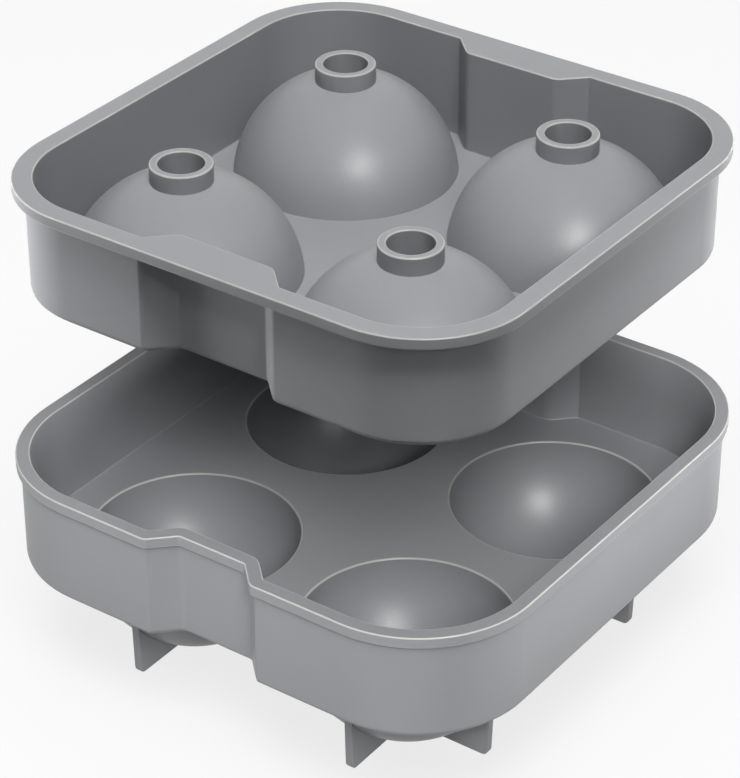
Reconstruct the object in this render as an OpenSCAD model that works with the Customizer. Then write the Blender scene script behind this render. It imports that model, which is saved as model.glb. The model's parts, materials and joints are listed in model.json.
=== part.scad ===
// Four-ball ice mold: a lower tray with four half-ball bowls standing on crossed fins,
// and an upper tray with four half-ball domes and filling spouts that nests down into it.
// Sizes in millimetres, +Z up. The origin is on the table under the middle of the lower tray,
// +X runs along a plain side and +Y towards a side with a grip recess.

/* [Ice ball] */
// Diameter of the frozen ball
ball_d = 45; // [40:0.5:46]
// Distance between the axes of neighbouring balls
ball_pitch = 55; // [52:0.5:57]

/* [Tray outline] */
// Width of the lower tray over its rim
rim_w = 122; // [120:0.5:136]
// Corner radius of that rim, seen from above
corner_r = 26.2; // [16:0.2:32]

/* [Grip recess] */
// How far the two recessed sides step in
recess_depth = 5.1; // [3:0.1:6]
// Length of the recess floor, measured on the rim
recess_len = 16.2; // [10:0.2:24]
// Rounding of the two outer corners at the mouth of the recess
recess_mouth_r = 2; // [1:0.1:3]
// Rounding of the two corners on the floor of the recess
recess_floor_r = 0.8; // [0.4:0.1:1.6]

/* [Lower tray] */
// Height of the rim above the tray floor
tray_h = 23; // [18:0.5:30]
// Thickness of the side wall
tray_wall = 2; // [1.4:0.1:3]
// How far the rim stands out over the wall
rim_out = 1; // [0.5:0.1:2]
// Height of the rim band
rim_h = 2.5; // [1.5:0.1:4]
// Thickness of the flat floor between the bowls
floor_t = 1.8; // [1.6:0.1:3]
// Shell thickness of the bowls
bowl_t = 1.6; // [1.2:0.1:2.4]
// Rounding of the lip where a bowl opens in the floor
lip_r = 0.8; // [0.4:0.1:1.2]

/* [Standing fins] */
// Thickness of the crossed fins under each bowl
fin_t = 2; // [1.4:0.1:3]
// Reach of a fin from the bowl axis at the table
fin_reach = 20.4; // [12:0.2:21]
// Sideways growth of a fin for each millimetre of height
fin_slope = 0.035; // [0:0.005:0.06]
// Clear height of the bowl bottoms above the table
foot_gap = 0.4; // [0:0.1:2]

/* [Upper tray] */
// Gap all round between the two nested walls
nest_gap = 2.6; // [1:0.1:3.2]
// Thickness of the side wall
lid_wall = 1.8; // [1.4:0.1:2.4]
// How far the flange stands out over the wall
flange_out = 2.5; // [1.5:0.1:2.8]
// Thickness of the flange
flange_t = 2.4; // [1.6:0.1:4]
// Clear height of the flange above the lower rim when closed
flange_gap = 0.6; // [0.3:0.1:2]
// Thickness of the flat web between the domes
web_t = 1.6; // [1.2:0.1:2.4]
// Height of the sealing ring that stands below the web round each dome
ring_h = 1.2; // [0.6:0.1:2]
// Shell thickness of the domes
dome_t = 1.7; // [1.2:0.1:2.4]

/* [Filling spouts] */
// Outer diameter of a spout
spout_d = 12.8; // [11.6:0.2:16]
// Diameter of the filling hole
fill_d = 9.4; // [6:0.2:10]
// Height of a spout above the crown of its dome
spout_rise = 3; // [1.5:0.1:6]
// Rounding of the spout's outer top edge
spout_edge_r = 0.6; // [0.2:0.1:0.8]

/* [Pose] */
// Height the upper tray is lifted above its closed place
lift = 61; // [0:0.5:90]
// Play left under the sealing rings when the mold is closed
seat_gap = 0.15; // [0.05:0.05:0.5]

/* [Hidden] */
$fn = 96;

ball_r = ball_d / 2;
bowl_r = ball_r + bowl_t;
dome_r = ball_r + dome_t;
floor_z = bowl_r + foot_gap;
half_pitch = ball_pitch / 2;
axes = [for (sx = [-1, 1], sy = [-1, 1]) [sx * half_pitch, sy * half_pitch]];

// Half widths of the walls, outermost first, all parallel to the rim
rim_half = rim_w / 2;
corner_x = rim_half - corner_r;
wall_half = rim_half - rim_out;
tray_half = wall_half - tray_wall;
lid_half = tray_half - nest_gap;
pocket_half = lid_half - lid_wall;
flange_half = lid_half + flange_out;

// Heights above the plane where the two half balls meet
web_z = ring_h + web_t;
flange_z = tray_h + flange_gap;
lid_h = flange_z + flange_t;
spout_z = dome_r + spout_rise;

// Edge roundings
foot_edge_r = 1.5;
rim_edge_r = 0.6;
inner_edge_r = 1;
fin_edge_r = 1.2;

// A recess side runs at 45 degrees; moving an outline inwards moves its corners by this share
recess_angle = 45;
bend = tan(recess_angle / 2);
arc_steps = 6;
sharp_r = 0.3;
over = 5;
lap = 0.03;

tray_colour = "#8d9196";
lid_colour = "#979b9f";

// Points of an arc from one angle to another
function arc(centre, r, from, to) =
  [for (i = [0:arc_steps])
    let (a = from + (to - from) * i / arc_steps)
      centre + r * [cos(a), sin(a)]];

// Half of a wall section: a strip with rounded outer edges
module edge_profile(w, h, low_r, top_r) {
  split = h / 2;
  square([w - low_r, split]);
  translate([0, split])
    square([w - top_r, h - split]);
  translate([0, low_r])
    square([w, h - low_r - top_r]);
  if (low_r > 0)
    translate([w - low_r, low_r])
      circle(low_r);
  if (top_r > 0)
    translate([w - top_r, h - top_r])
      circle(top_r);
}

// Rounded square plate between two heights, its four corner arcs centred at corner_x
module plate(half, z0, z1, low_r = 0, top_r = 0) {
  w = half - corner_x;
  h = z1 - z0;
  translate([0, 0, z0]) {
    translate([-corner_x, -corner_x, 0])
      cube([2 * corner_x, 2 * corner_x, h]);
    for (turn = [0:90:270])
      rotate(turn)
        translate([corner_x, corner_x, 0]) {
          rotate_extrude(angle = 90)
            edge_profile(w, h, low_r, top_r);
          rotate([90, 0, 0])
            linear_extrude(2 * corner_x)
              edge_profile(w, h, low_r, top_r);
        }
  }
}

// Space taken by the two grip recesses at a wall of the given half width.
// Corners are rounded as on the tray's outermost face and follow it parallel further in.
module recesses(half, outermost, z0, z1) {
  inset = outermost - half;
  floor_half = recess_len / 2 + bend * (rim_half - half);
  mouth_half = floor_half + recess_depth;
  mouth_r = max(sharp_r, recess_mouth_r - inset);
  floor_r = recess_floor_r + inset;
  mouth = [mouth_half + bend * mouth_r, mouth_r - half];
  base = [floor_half - bend * floor_r, recess_depth - floor_r - half];
  right = concat(
    [[mouth[0], -half - over]],
    arc(mouth, mouth_r, 270, 270 - recess_angle),
    arc(base, floor_r, 90 - recess_angle, 90));
  left = [for (i = [len(right) - 1:-1:0]) [-right[i][0], right[i][1]]];
  for (turn = [0, 180])
    rotate(turn)
      translate([0, 0, z0])
        linear_extrude(z1 - z0)
          polygon(concat(right, left));
}

// Half ball with its flat side on the parting plane, crown up
module half_ball(r) {
  rotate_extrude()
    intersection() {
      circle(r);
      square(r);
    }
}

// Space inside a bowl, opening through the floor with a rounded lip
module bowl_space() {
  lip_x = sqrt(ball_r * ball_r - lip_r * lip_r) + lip_r;
  rotate_extrude()
    difference() {
      union() {
        intersection() {
          circle(ball_r);
          translate([0, -ball_r])
            square(ball_r);
        }
        translate([0, -lip_r])
          square([lip_x, lip_r + over]);
      }
      translate([lip_x, lap - lip_r])
        circle(lip_r);
    }
}

// One upright fin through a bowl axis, standing on the table
module fin() {
  top = floor_z - ball_r / 2;
  wide = fin_reach + fin_slope * top;
  low = [fin_reach - fin_edge_r, fin_edge_r - floor_z];
  right = concat(arc(low, fin_edge_r, 270, 360), [[wide, top - floor_z]]);
  left = [for (i = [len(right) - 1:-1:0]) [-right[i][0], right[i][1]]];
  rotate([90, 0, 0])
    linear_extrude(fin_t, center = true)
      polygon(concat(right, left));
}

// Upright sides, floor and rim of the lower tray
module tray_shell() {
  difference() {
    union() {
      difference() {
        plate(wall_half, -floor_t, tray_h - rim_h / 2, low_r = foot_edge_r);
        recesses(wall_half, rim_half, -over, tray_h + over);
      }
      difference() {
        plate(rim_half, tray_h - rim_h, tray_h, top_r = rim_edge_r);
        recesses(rim_half, rim_half, -over, tray_h + over);
      }
    }
    difference() {
      plate(tray_half, 0, tray_h + over, low_r = inner_edge_r);
      recesses(tray_half, rim_half, -over, tray_h + 2 * over);
    }
  }
}

module lower_tray() {
  color(tray_colour)
    translate([0, 0, floor_z])
      difference() {
        union() {
          tray_shell();
          for (p = axes)
            translate(p) {
              mirror([0, 0, 1])
                half_ball(bowl_r);
              for (turn = [0, 90])
                rotate(turn)
                  fin();
            }
        }
        for (p = axes)
          translate(p)
            bowl_space();
      }
}

// Upright sides, web and flange of the upper tray; the flange passes straight over the recesses
module lid_shell() {
  difference() {
    union() {
      difference() {
        plate(lid_half, ring_h, flange_z + flange_t / 2, low_r = foot_edge_r);
        recesses(lid_half, lid_half, -over, lid_h + over);
      }
      plate(flange_half, flange_z, lid_h, top_r = rim_edge_r);
    }
    difference() {
      plate(pocket_half, web_z, lid_h + over, low_r = inner_edge_r);
      recesses(pocket_half, lid_half, -over, lid_h + 2 * over);
    }
  }
}

// Spout wall with a rounded top edge, rising out of the crown of a dome
module spout() {
  rotate_extrude()
    edge_profile(spout_d / 2, spout_z, 0, spout_edge_r);
}

module upper_tray() {
  color(lid_colour)
    translate([0, 0, floor_z + lift])
      difference() {
        union() {
          lid_shell();
          for (p = axes)
            translate(p) {
              half_ball(dome_r);
              spout();
            }
        }
        for (p = axes)
          translate(p) {
            sphere(ball_r);
            cylinder(d = fill_d, h = spout_z + over);
          }
      }
}

lower_tray();
upper_tray();
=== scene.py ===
import json
from math import cos, pi, radians, sin, sqrt, tan

import bmesh
import bpy
from mathutils import Matrix, Vector

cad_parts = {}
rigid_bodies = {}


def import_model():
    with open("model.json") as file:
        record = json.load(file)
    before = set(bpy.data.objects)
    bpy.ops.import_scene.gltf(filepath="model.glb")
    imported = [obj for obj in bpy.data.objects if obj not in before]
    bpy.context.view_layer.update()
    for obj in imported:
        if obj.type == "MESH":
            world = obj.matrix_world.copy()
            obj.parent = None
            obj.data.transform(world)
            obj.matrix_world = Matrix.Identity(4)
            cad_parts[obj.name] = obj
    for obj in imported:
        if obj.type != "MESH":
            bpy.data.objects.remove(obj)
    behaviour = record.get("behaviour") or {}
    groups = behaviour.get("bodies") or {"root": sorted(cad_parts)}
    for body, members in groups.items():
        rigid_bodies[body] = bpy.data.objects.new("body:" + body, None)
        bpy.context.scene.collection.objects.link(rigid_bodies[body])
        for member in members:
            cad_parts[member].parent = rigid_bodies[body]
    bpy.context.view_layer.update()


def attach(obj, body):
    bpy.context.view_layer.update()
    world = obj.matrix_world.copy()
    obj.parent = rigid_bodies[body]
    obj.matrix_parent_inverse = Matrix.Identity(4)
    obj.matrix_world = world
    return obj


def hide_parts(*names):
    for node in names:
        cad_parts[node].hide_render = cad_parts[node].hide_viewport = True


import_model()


# Lower tray: one moulding of grey silicone, pressed in a two-part tool and trimmed by hand.
# A square tray with a thick rim and two grip recesses; four half-ball bowls hang under its floor.
# Crossed fins moulded under each bowl carry it on the table, so nothing is fixed to anything.
mm = 0.001
floor_top = 24.5 * mm

# Outline seen from above; half widths count from the middle of the mold
rim_half = 61 * mm
corner_x = 34.8 * mm
tray_wall_half = 60 * mm
tray_inner_half = 58 * mm
recess_depth = 5.1 * mm
recess_floor_half = 8.1 * mm
recess_mouth_round = 2 * mm
recess_floor_round = 0.8 * mm
recess_bend = tan(pi / 8)
sharp_round = 0.3 * mm

# Wall and rim; these heights count from the top of the floor
tray_rim_top = 23 * mm
tray_rim_low = 20.5 * mm
tray_floor_low = -1.8 * mm
rim_fall = 0.05 * mm
edge_round = 0.25 * mm
foot_round = 1.5 * mm
floor_round = 0.3 * mm

# Bowls, and the moves that take the first one to the other three places
half_pitch = 27.5 * mm
pitch = 2 * half_pitch
quarter_moves = ((-pitch, 0, 0), (0, -pitch, 0), (pitch, 0, 0))
ball_radius = 22.5 * mm
bowl_radius = 24.1 * mm
shell_middle = 23.3 * mm
lip_round = 0.35 * mm

# Fins; their top lies inside the bowl's shell
fin_thick = 2 * mm
fin_reach = 20.4 * mm
fin_slope = 0.035
fin_top = 13 * mm
fin_corner_round = 1.2 * mm
fin_edge_round = 0.3 * mm

# Fineness of the mesh
corner_segments = 18
bend_segments = 4
edge_segments = 3
fin_corner_segments = 6
ball_segments = 96
hollow_segments = 64
sharp_angle = radians(60)
smooth_angle = radians(40)
tiny = 1e-6
ring_slack = 0.2 * mm


def open_piece(name):
    """Starts a new piece with an empty mesh and opens it for editing."""
    bpy.ops.object.select_all(action="DESELECT")
    bpy.ops.object.add(type="MESH", location=(0, 0, 0))
    piece = bpy.context.object
    piece.name = name
    piece.data.name = name
    bpy.ops.object.mode_set(mode="EDIT")
    bpy.ops.mesh.select_mode(type="EDGE")
    bmesh.from_edit_mesh(piece.data).verts.layers.int.new("course")
    return piece


def pick_edges(wanted):
    """Selects the edges that a test picks out, and nothing else."""
    mesh = bpy.context.object.data
    bpy.ops.mesh.select_mode(type="EDGE")
    bpy.ops.mesh.select_all(action="DESELECT")
    shape = bmesh.from_edit_mesh(mesh)
    course = shape.verts.layers.int["course"]
    for edge in shape.edges:
        edge.select_set(wanted(edge, [v.co for v in edge.verts], [v[course] for v in edge.verts]))
    bmesh.update_edit_mesh(mesh)


def pick_corners(places):
    """Selects the vertices that stand at the given places."""
    mesh = bpy.context.object.data
    bpy.ops.mesh.select_mode(type="VERT")
    bpy.ops.mesh.select_all(action="DESELECT")
    shape = bmesh.from_edit_mesh(mesh)
    for vertex in shape.verts:
        vertex.select_set(any((vertex.co - place).length < tiny for place in places))
    bmesh.update_edit_mesh(mesh)


def lay_course(number, half, height, depth, own_inset):
    """Lays one closed outline of a tray: twelve corners, each rounded, at one height."""
    inner = recess_floor_half + recess_bend * (rim_half - half)
    outer = inner + recess_depth
    side = [(half, -half), (half, half), (outer, half)]
    recess = [(inner, half - depth), (-inner, half - depth), (-outer, half)]
    plan = side + recess + [(-x, -y) for x, y in side + recess]
    places = [Vector((x, y, height)) for x, y in plan]
    bpy.ops.mesh.select_all(action="DESELECT")
    bpy.ops.mesh.primitive_circle_add(
        vertices=len(places), radius=half, fill_type="NOTHING", location=(0, 0, height))
    mesh = bpy.context.object.data
    shape = bmesh.from_edit_mesh(mesh)
    around = next(v for v in shape.verts if v.select)
    before = None
    for place in places:
        ahead = [e.other_vert(around) for e in around.link_edges if e.other_vert(around) is not before]
        around.co = place
        before, around = around, ahead[0]
    bmesh.update_edit_mesh(mesh)
    mouth = max(sharp_round, recess_mouth_round - own_inset) * recess_bend
    floor = (recess_floor_round + own_inset) * recess_bend
    for corners, reach, segments in (
        ((0, 1, 6, 7), half - corner_x, corner_segments),
        ((2, 5, 8, 11), mouth, bend_segments),
        ((3, 4, 9, 10), floor, bend_segments),
    ):
        pick_corners([places[i] for i in corners])
        bpy.ops.mesh.bevel(affect="VERTICES", offset_type="OFFSET", offset=reach, segments=segments)
    bpy.ops.mesh.select_linked()
    shape = bmesh.from_edit_mesh(mesh)
    course = shape.verts.layers.int["course"]
    for vertex in shape.verts:
        if vertex.select:
            vertex[course] = number
    bmesh.update_edit_mesh(mesh)


def build_courses(courses, level, outer_half):
    """Lays the outlines one after another and bridges each to the one before it."""
    for number, (half, height, depth) in enumerate(courses, start=1):
        lay_course(number, half, level + height, depth, max(0, outer_half - half))
        if number > 1:
            pair = (number - 1, number)
            pick_edges(lambda edge, at, course: course[0] == course[1] and course[0] in pair)
            bpy.ops.mesh.bridge_edge_loops()


def round_steps(half, height, out, up):
    """Outline sizes and heights along a quarter round, from its first face to its second."""
    turns = [i * pi / 2 / edge_segments for i in range(edge_segments + 1)]
    if up:
        return [(half + out * sin(t), height + abs(out) * (1 - cos(t))) for t in turns]
    return [(half + out * (1 - cos(t)), height + abs(out) * sin(t)) for t in turns]


def cut_ball(centre, radius, low=None, high=None):
    """Adds a ball and keeps the band of it between two heights."""
    bpy.ops.mesh.select_all(action="DESELECT")
    bpy.ops.mesh.primitive_uv_sphere_add(
        segments=ball_segments, ring_count=ball_segments // 2, radius=radius, location=centre)
    for height, keep_below in ((low, False), (high, True)):
        if height is None:
            continue
        bpy.ops.mesh.select_linked()
        bpy.ops.mesh.bisect(
            plane_co=(0, 0, height), plane_no=(0, 0, 1), threshold=tiny / 10,
            clear_outer=keep_below, clear_inner=not keep_below)


def draw_ring(centre, radius, height, steps):
    """Sets the open ring at a height to its radius, then extrudes it through further steps."""
    pick_edges(lambda edge, at, course: edge.is_boundary and all(
        abs((p - centre).xy.length - radius) < ring_slack and abs(p.z - height) < tiny for p in at))
    shape = bmesh.from_edit_mesh(bpy.context.object.data)
    found = [(v.co - centre).xy.length for v in shape.verts if v.select]
    scale = radius * len(found) / sum(found)
    bpy.ops.transform.resize(value=(scale, scale, 1), center_override=centre)
    for next_radius, next_height in steps:
        bpy.ops.mesh.extrude_edges_move(TRANSFORM_OT_translate={"value": (0, 0, next_height - height)})
        scale = next_radius / radius
        bpy.ops.transform.resize(value=(scale, scale, 1), center_override=centre)
        radius, height = next_radius, next_height


def copy_to_quarters():
    """Copies all but the tray walls from the first ball's place to the other three."""
    mesh = bpy.context.object.data
    bpy.ops.mesh.select_mode(type="VERT")
    bpy.ops.mesh.select_all(action="DESELECT")
    shape = bmesh.from_edit_mesh(mesh)
    course = shape.verts.layers.int["course"]
    for vertex in shape.verts:
        vertex.select_set(vertex[course] == 0)
    shape.select_flush(True)
    bmesh.update_edit_mesh(mesh)
    for move in quarter_moves:
        bpy.ops.mesh.duplicate_move(TRANSFORM_OT_translate={"value": move})


def fill_level(height):
    """Closes the flat face between a tray's wall and its four balls."""
    pick_edges(lambda edge, at, course: edge.is_boundary and all(abs(p.z - height) < tiny for p in at))
    bpy.ops.mesh.fill(use_beauty=True)


def seal_piece(piece):
    """Merges the joins of a closed moulding, turns all faces outwards and ends the editing."""
    bpy.ops.mesh.select_all(action="SELECT")
    bpy.ops.mesh.remove_doubles(threshold=2 * tiny)
    bpy.ops.mesh.normals_make_consistent(inside=False)
    bpy.ops.object.mode_set(mode="OBJECT")
    piece.data.attributes.remove(piece.data.attributes["course"])


def smooth_piece(piece):
    """Shades the rounds smooth and keeps the flat faces flat."""
    bpy.ops.object.shade_smooth_by_angle(angle=smooth_angle)
    bpy.ops.object.modifier_add(type="WEIGHTED_NORMAL")
    weights = piece.modifiers[-1]
    weights.keep_sharp = True
    weights.weight = 100
    bpy.ops.object.modifier_apply(modifier=weights.name)


wall_foot = round_steps(tray_wall_half - foot_round, tray_floor_low, foot_round, up=True)
rim_under = [(tray_wall_half, tray_rim_low)]
rim_low_edge = round_steps(rim_half - edge_round, tray_rim_low, edge_round, up=True)
rim_top_edge = round_steps(rim_half, tray_rim_top - rim_fall - edge_round, -edge_round, up=False)
rim_inner_edge = [
    (half, 2 * tray_rim_top - edge_round - height) for half, height in
    round_steps(tray_inner_half + edge_round, tray_rim_top - edge_round, -edge_round, up=True)]
wall_inner = [
    (half, floor_round - height) for half, height in
    round_steps(tray_inner_half, 0, -floor_round, up=False)]
tray_courses = wall_foot + rim_under + rim_low_edge + rim_top_edge + rim_inner_edge + wall_inner

lower_tray = open_piece("lower_tray_silicone")
build_courses([(half, height, recess_depth) for half, height in tray_courses], floor_top, rim_half)
bowl_centre = Vector((half_pitch, half_pitch, floor_top))
lip_low = floor_top - lip_round
lip_start = sqrt(ball_radius ** 2 - lip_round ** 2)
lip_steps = [
    (lip_start + lip_round * (1 - cos(t)), lip_low + lip_round * sin(t))
    for t in (pi / 8, pi / 4, 3 * pi / 8, pi / 2)]
cut_ball(bowl_centre, ball_radius, high=lip_low)
draw_ring(bowl_centre, lip_start, lip_low, lip_steps)
cut_ball(bowl_centre, bowl_radius, high=floor_top + tray_floor_low)
copy_to_quarters()
fill_level(floor_top)
fill_level(floor_top + tray_floor_low)
seal_piece(lower_tray)


def stand_fin(centre, turned):
    """One upright fin under a bowl, hollowed to the ball and with its lower corners rounded."""
    bpy.ops.object.select_all(action="DESELECT")
    bpy.ops.mesh.primitive_cube_add(size=1, location=(0, 0, 0))
    fin = bpy.context.object
    bpy.ops.object.mode_set(mode="EDIT")
    bpy.ops.transform.resize(value=(2 * fin_reach, fin_thick, fin_top), center_override=(0, 0, 0))
    bpy.ops.transform.translate(value=(0, 0, fin_top / 2))
    shape = bmesh.from_edit_mesh(fin.data)
    bpy.ops.mesh.select_mode(type="VERT")
    bpy.ops.mesh.select_all(action="DESELECT")
    for vertex in shape.verts:
        vertex.select_set(vertex.co.z > fin_top / 2)
    bmesh.update_edit_mesh(fin.data)
    widening = 1 + fin_slope * fin_top / fin_reach
    bpy.ops.transform.resize(value=(widening, 1, 1), center_override=(0, 0, 0))
    bpy.ops.mesh.select_mode(type="EDGE")
    bpy.ops.mesh.select_all(action="DESELECT")
    shape = bmesh.from_edit_mesh(fin.data)
    for edge in shape.edges:
        first, last = [v.co for v in edge.verts]
        at_end = min(abs(first.x), abs(last.x)) > fin_reach / 2 and abs(first.x - last.x) < tiny
        edge.select_set(at_end and max(first.z, last.z) < tiny)
    bmesh.update_edit_mesh(fin.data)
    bpy.ops.mesh.bevel(affect="EDGES", offset=fin_corner_round, segments=fin_corner_segments)
    bpy.ops.mesh.select_all(action="DESELECT")
    shape = bmesh.from_edit_mesh(fin.data)
    for edge in shape.edges:
        below_top = min(v.co.z for v in edge.verts) < fin_top - tiny
        edge.select_set(below_top and edge.calc_face_angle() > sharp_angle)
    bmesh.update_edit_mesh(fin.data)
    bpy.ops.mesh.bevel(affect="EDGES", offset=fin_edge_round, segments=edge_segments)
    bpy.ops.mesh.select_all(action="SELECT")
    if turned:
        bpy.ops.transform.rotate(value=pi / 2, orient_axis="Z", center_override=(0, 0, 0))
    bpy.ops.transform.translate(value=(centre.x, centre.y, 0))
    bpy.ops.object.mode_set(mode="OBJECT")
    bpy.ops.mesh.primitive_uv_sphere_add(
        segments=hollow_segments, ring_count=hollow_segments // 2, radius=shell_middle, location=centre)
    ball = bpy.context.object
    bpy.ops.object.select_all(action="DESELECT")
    fin.select_set(True)
    bpy.context.view_layer.objects.active = fin
    bpy.ops.object.modifier_add(type="BOOLEAN")
    hollow = fin.modifiers[-1]
    hollow.operation = "DIFFERENCE"
    hollow.solver = "EXACT"
    hollow.object = ball
    bpy.ops.object.modifier_apply(modifier=hollow.name)
    bpy.data.objects.remove(ball)
    return fin


crossed_fins = [stand_fin(bowl_centre, turned) for turned in (False, True)]
for fin in crossed_fins:
    fin.select_set(True)
bpy.ops.object.join()
bpy.ops.object.mode_set(mode="EDIT")
bpy.ops.mesh.select_all(action="SELECT")
for move in quarter_moves:
    bpy.ops.mesh.duplicate_move(TRANSFORM_OT_translate={"value": move})
bpy.ops.object.mode_set(mode="OBJECT")
lower_tray.select_set(True)
bpy.context.view_layer.objects.active = lower_tray
bpy.ops.object.join()
smooth_piece(lower_tray)


class Shade:
    """A shader socket that adds its own Math nodes when it is used in an expression."""

    def __init__(self, tree, socket=None):
        self.tree = tree
        self.socket = socket

    def node(self, kind, settings=None, inputs=None, output=0):
        """Adds a node, sets it up, fills its sockets and hands back one of its outputs."""
        made = self.tree.nodes.new(kind)
        for name, value in (settings or {}).items():
            setattr(made, name, value)
        for name, value in (inputs or {}).items():
            if isinstance(value, Shade):
                self.tree.links.new(value.socket, made.inputs[name])
            else:
                made.inputs[name].default_value = value
        return Shade(self.tree, made.outputs[output]) if made.outputs else made

    def maths(self, operation, left, right):
        """Adds one Math node on two sockets or numbers."""
        return self.node("ShaderNodeMath", {"operation": operation}, {0: left, 1: right})

    def __add__(self, other):
        return self.maths("ADD", self, other)

    def __radd__(self, other):
        return self.maths("ADD", other, self)

    def __sub__(self, other):
        return self.maths("SUBTRACT", self, other)

    def __rsub__(self, other):
        return self.maths("SUBTRACT", other, self)

    def __mul__(self, other):
        return self.maths("MULTIPLY", self, other)

    def __rmul__(self, other):
        return self.maths("MULTIPLY", other, self)


lower_grey = (0.262, 0.267, 0.279)
# A paler grey painted on the narrow edge rounds as a highlight
painted_highlight_grey = (0.46, 0.455, 0.435)
grey_spread = 0.07
cloud_share = 0.8
cloud_scale = 45.0
grain_scale = 2300.0
grain_depth = 0.1 * mm
grain_strength = 0.25
silicone_roughness = 0.42
roughness_spread = 0.15
silicone_ior = 1.41


def silicone(name, grey):
    """Matte moulded silicone: an even grey with a faint cloudiness and a fine etched grain."""
    material = bpy.data.materials.new(name)
    material.use_nodes = True
    tree = material.node_tree
    tree.nodes.clear()
    start = Shade(tree)
    place = start.node("ShaderNodeTexCoord", output="Object")
    cloud = start.node("ShaderNodeTexNoise", inputs={
        "Vector": place, "Scale": cloud_scale, "Detail": 3.0}, output="Fac")
    grain = start.node("ShaderNodeTexNoise", inputs={
        "Vector": place, "Scale": grain_scale, "Detail": 2.0}, output="Fac")
    colour = start.node("ShaderNodeMix", {"data_type": "RGBA"}, {
        "Factor": cloud * cloud_share + grain * (1 - cloud_share),
        "A": [c * (1 - grey_spread) for c in grey] + [1],
        "B": [c * (1 + grey_spread) for c in grey] + [1]}, output=2)
    bump = start.node("ShaderNodeBump", inputs={
        "Strength": grain_strength, "Distance": grain_depth, "Height": grain})
    surface = start.node("ShaderNodeBsdfPrincipled", inputs={
        "Base Color": colour, "Roughness": silicone_roughness + (grain - 0.5) * roughness_spread,
        "Normal": bump, "IOR": silicone_ior})
    start.node("ShaderNodeOutputMaterial", inputs={"Surface": surface})
    return material


def paint_edge_highlights(piece, tops):
    """Paints a highlight: gives the narrow rounds just under the given heights a paler grey."""
    upright, level = 0.1, 0.99
    bpy.ops.object.mode_set(mode="EDIT")
    bpy.ops.mesh.select_mode(type="FACE")
    bpy.ops.mesh.select_all(action="DESELECT")
    shape = bmesh.from_edit_mesh(piece.data)
    for face in shape.faces:
        heights = [v.co.z for v in face.verts]
        face.select_set(upright < abs(face.normal.z) < level and any(
            top - depth - tiny < min(heights) and max(heights) < top + tiny for top, depth in tops))
    bmesh.update_edit_mesh(piece.data)
    piece.active_material_index = 1
    bpy.ops.object.material_slot_assign()
    bpy.ops.object.mode_set(mode="OBJECT")


lower_tray.data.materials.clear()
lower_tray.data.materials.append(silicone("lower_silicone_finish", lower_grey))
# The second slot is a painted highlight: a paler grey on the rounds of the rim top, the rim's lower edge and
# the bowl lips
lower_tray.data.materials.append(silicone("lower_silicone_painted_highlights", painted_highlight_grey))
paint_edge_highlights(lower_tray, [
    (floor_top + tray_rim_top, edge_round + rim_fall),
    (floor_top + tray_rim_low + edge_round, edge_round),
    (floor_top, lip_round)])
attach(lower_tray, "lower_tray")
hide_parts("lower_tray")


# Upper tray: a second moulding of the same silicone, pressed and trimmed like the first.
# A smaller tray with a wide flange, four half-ball domes on its web and an open spout on each dome.
# It only nests inside the lower tray, sealing rings down, and lifts straight off by its two tabs.
upper_grey = (0.271, 0.276, 0.288)
lift = 61 * mm
lid_level = floor_top + lift
lid_wall_half = 55.4 * mm
lid_inner_half = 53.6 * mm
flange_half = 57.9 * mm

# Heights above the plane where the two half balls meet
flange_low = 23.6 * mm
lid_top = 26 * mm
web_low = 1.2 * mm
web_top = 2.8 * mm
spout_top = 27.2 * mm

# Domes, sealing rings and spouts
dome_radius = 24.2 * mm
ring_edge = 0.3 * mm
spout_radius = 6.4 * mm
spout_round = 0.3 * mm
fill_radius = 4.7 * mm
fill_round = 0.25 * mm
quarter_turn = (0, pi / 6, pi / 3, pi / 2)

lid_foot = round_steps(lid_wall_half - foot_round, web_low, foot_round, up=True)
flange_under = [(lid_wall_half, flange_low - rim_fall)]
flange_low_edge = round_steps(flange_half - edge_round, flange_low, edge_round, up=True)
flange_top_edge = round_steps(flange_half, lid_top - rim_fall - edge_round, -edge_round, up=False)
flange_inner_edge = [
    (half, 2 * lid_top - edge_round - height) for half, height in
    round_steps(lid_inner_half + edge_round, lid_top - edge_round, -edge_round, up=True)]
lid_inner = [
    (half, web_top + floor_round - height) for half, height in
    round_steps(lid_inner_half, 0, -floor_round, up=False)]
lid_courses = [(half, height, recess_depth) for half, height in lid_foot + flange_under]
lid_courses += [(half, height, 0) for half, height in flange_low_edge + flange_top_edge]
lid_courses += [(half, height, recess_depth) for half, height in flange_inner_edge + lid_inner]

upper_tray = open_piece("upper_tray_silicone")
build_courses(lid_courses, lid_level, lid_wall_half)
dome_centre = Vector((half_pitch, half_pitch, lid_level))
spout_foot = lid_level + sqrt(dome_radius ** 2 - spout_radius ** 2)
fill_foot = lid_level + sqrt(ball_radius ** 2 - fill_radius ** 2)
ring_steps = [
    (dome_radius - ring_edge, lid_level),
    (dome_radius, lid_level + ring_edge),
    (dome_radius, lid_level + web_low)]
spout_line = [
    (spout_radius - spout_round * (1 - cos(t)), spout_top - spout_round * (1 - sin(t)))
    for t in quarter_turn]
fill_line = [
    (fill_radius + fill_round * (1 - sin(t)), spout_top - fill_round * (1 - cos(t)))
    for t in quarter_turn]
spout_steps = [(radius, lid_level + height) for radius, height in spout_line + fill_line]
cut_ball(dome_centre, ball_radius, low=lid_level, high=fill_foot)
draw_ring(dome_centre, fill_radius, fill_foot, [])
draw_ring(dome_centre, ball_radius, lid_level, ring_steps)
cut_ball(dome_centre, dome_radius, low=lid_level + web_top, high=spout_foot)
draw_ring(dome_centre, spout_radius, spout_foot, spout_steps + [(fill_radius, fill_foot)])
copy_to_quarters()
fill_level(lid_level + web_low)
fill_level(lid_level + web_top)
seal_piece(upper_tray)
smooth_piece(upper_tray)
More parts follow.
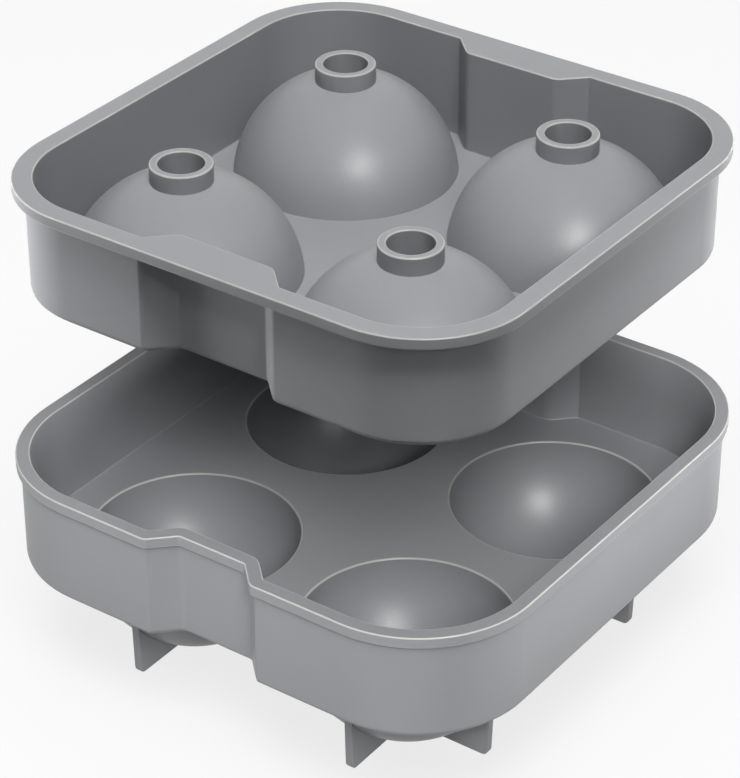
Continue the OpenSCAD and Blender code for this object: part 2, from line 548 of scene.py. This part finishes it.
upper_tray.data.materials.append(silicone("upper_silicone_finish", upper_grey))
# The second slot is a painted highlight: a paler grey on the rounds of the flange top, the flange's lower
# edge and the spout rims
upper_tray.data.materials.append(silicone("upper_silicone_painted_highlights", painted_highlight_grey))
paint_edge_highlights(upper_tray, [
    (lid_level + lid_top, edge_round + rim_fall),
    (lid_level + flange_low + edge_round, edge_round),
    (lid_level + spout_top, spout_round)])
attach(upper_tray, "upper_tray")
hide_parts("upper_tray")


# Studio: a wide sheet of matte paper that the mold stands on, with a white surround.
# The paper looks white to the eye and keeps the soft shadow under the trays.
# Each lamp lights only the pieces named for it, and each tray has lamps of its own.
paper_size = 6
paper_bounce = 0.1
paper_white = 0.95
paper_glow = 0.8
ambient = 0.05
bpy.ops.object.select_all(action="DESELECT")
bpy.ops.mesh.primitive_plane_add(size=paper_size, location=(0, 0, 0))
paper = bpy.context.object
paper.name = "paper_floor"


def plainly_seen(start):
    """One where a thing is seen straight, mirrored or through glass; zero where it only lights."""
    straight, mirrored, through = [
        start.node("ShaderNodeLightPath", output=f"Is {kind} Ray")
        for kind in ("Camera", "Glossy", "Transmission")]
    return start.maths("MAXIMUM", start.maths("MAXIMUM", straight, mirrored), through)


paper_finish = bpy.data.materials.new("paper_finish")
paper_finish.use_nodes = True
paper_finish.node_tree.nodes.clear()
sheet = Shade(paper_finish.node_tree)
seen = plainly_seen(sheet)
matte = sheet.node("ShaderNodeBsdfDiffuse", inputs={
    "Color": paper_bounce + seen * (paper_white - paper_bounce)})
white = sheet.node("ShaderNodeEmission", inputs={"Color": (1, 1, 1, 1), "Strength": 1.0})
blend = sheet.node("ShaderNodeMixShader", inputs={0: seen * paper_glow, 1: matte, 2: white})
sheet.node("ShaderNodeOutputMaterial", inputs={"Surface": blend})
paper.data.materials.append(paper_finish)

world = bpy.data.worlds.new("white_surround")
bpy.context.scene.world = world
world.use_nodes = True
world.node_tree.nodes.clear()
sky = Shade(world.node_tree)
glow = sky.node("ShaderNodeBackground", inputs={
    "Color": (1, 1, 1, 1), "Strength": ambient + plainly_seen(sky) * (1 - ambient)})
sky.node("ShaderNodeOutputWorld", inputs={"Surface": glow})


def soft_lamp(name, place, aim, size, power, lights, spread=180, sheen=False):
    """A rectangular lamp for the given pieces alone; it fills without a bright spot, or only adds one."""
    bpy.ops.object.light_add(type="AREA", location=place)
    lamp = bpy.context.object
    lamp.name = name
    lamp.data.shape = "RECTANGLE"
    lamp.data.size, lamp.data.size_y = size
    lamp.data.energy = power
    lamp.data.spread = radians(spread)
    lamp.rotation_euler = (Vector(aim) - Vector(place)).to_track_quat("-Z", "Y").to_euler()
    lamp.visible_glossy = sheen
    lamp.visible_diffuse = not sheen
    lit = bpy.data.collections.new(name)
    for piece in lights:
        lit.objects.link(piece)
    lamp.light_linking.receiver_collection = lit


lower = [lower_tray]
upper = [upper_tray]
trays = [lower_tray, upper_tray]
bowls_at = (0, 0, 10 * mm)
floor_at = (0, 0, 20 * mm)
middle_at = (0, 0, 60 * mm)
lid_at = (0, 0, 100 * mm)
domes_at = (0, 0, 108 * mm)
dome_lamp_at = (0.309, -0.215, 0.42)

soft_lamp("floor_wash", (0, 0, 1.2), middle_at, size=(1.3, 1.3), power=9, lights=[paper])
soft_lamp("overhead", (-0.1, 0.1, 1.2), middle_at, size=(1.3, 1.3), power=0.6, lights=trays)
soft_lamp("back_fill", (-0.45, 0.6, 0.35), middle_at, size=(0.6, 0.4), power=1.2, lights=trays)

# The lower tray: from above and in front, a bright spot in the bowls, and low lamps on the walls
soft_lamp("base_top", (0.319, -0.448, 1.013), middle_at, size=(0.6, 0.6), power=7, lights=[lower_tray, paper])
soft_lamp("base_front", (0.62, -0.678, 0.791), floor_at, size=(0.32, 0.32), power=9.2, lights=lower)
soft_lamp("bowl_key", (0.331, -0.232, 0.33), bowls_at, size=(0.1, 0.1), power=3.8, lights=lower, sheen=True)
soft_lamp("low_front", (-0.28, -0.42, 0.05), (-0.03, -0.06, 0.06), size=(0.2, 0.06), power=0.034,
          lights=lower, spread=22)
soft_lamp("low_centre", (0.4, -0.32, 0.05), (0.05, -0.05, 0.03), size=(0.2, 0.06), power=0.22,
          lights=lower)
soft_lamp("low_right", (0.22, 0.22, 0.05), (0.06, 0.05, 0.06), size=(0.15, 0.06), power=0.05,
          lights=lower, spread=24)

# The upper tray: from above, a bright spot on the domes, and lamps beside its left and right ends
soft_lamp("lid_front", (0.24, -0.266, 1.14), lid_at, size=(0.3, 0.3), power=12, lights=upper)
soft_lamp("dome_front", dome_lamp_at, domes_at, size=(0.2, 0.16), power=0.016, lights=upper, spread=10)
soft_lamp("dome_key", dome_lamp_at, domes_at, size=(0.1, 0.1), power=2.8, lights=upper, sheen=True)
soft_lamp("side_left", (-0.14, -0.09, 0.105), (-0.04, -0.055, 0.1), size=(0.05, 0.02), power=0.2,
          lights=upper)
soft_lamp("side_right", (0.11, 0.12, 0.105), (0.055, 0.04, 0.1), size=(0.05, 0.02), power=0.17,
          lights=upper)

view_azimuth = radians(35.54)
view_height = radians(31.98)
eye = Vector((306.78, -431.65, 386.96)) * mm
focal_pixels = 3000
frame_width = 740
sensor = 36
bpy.ops.object.camera_add(location=eye)
camera = bpy.context.object
camera.data.sensor_fit = "HORIZONTAL"
camera.data.sensor_width = sensor
camera.data.lens = focal_pixels * sensor / frame_width
camera.data.clip_start = 10 * mm
across = Vector((cos(view_azimuth), sin(view_azimuth), 0))
back = Vector((sin(view_azimuth) * cos(view_height), -cos(view_azimuth) * cos(view_height), sin(view_height)))
turn = Matrix((across, back.cross(across), back)).transposed().to_4x4()
camera.matrix_world = Matrix.Translation(eye) @ turn
bpy.context.scene.camera = camera
bpy.context.scene.view_settings.view_transform = "Standard"
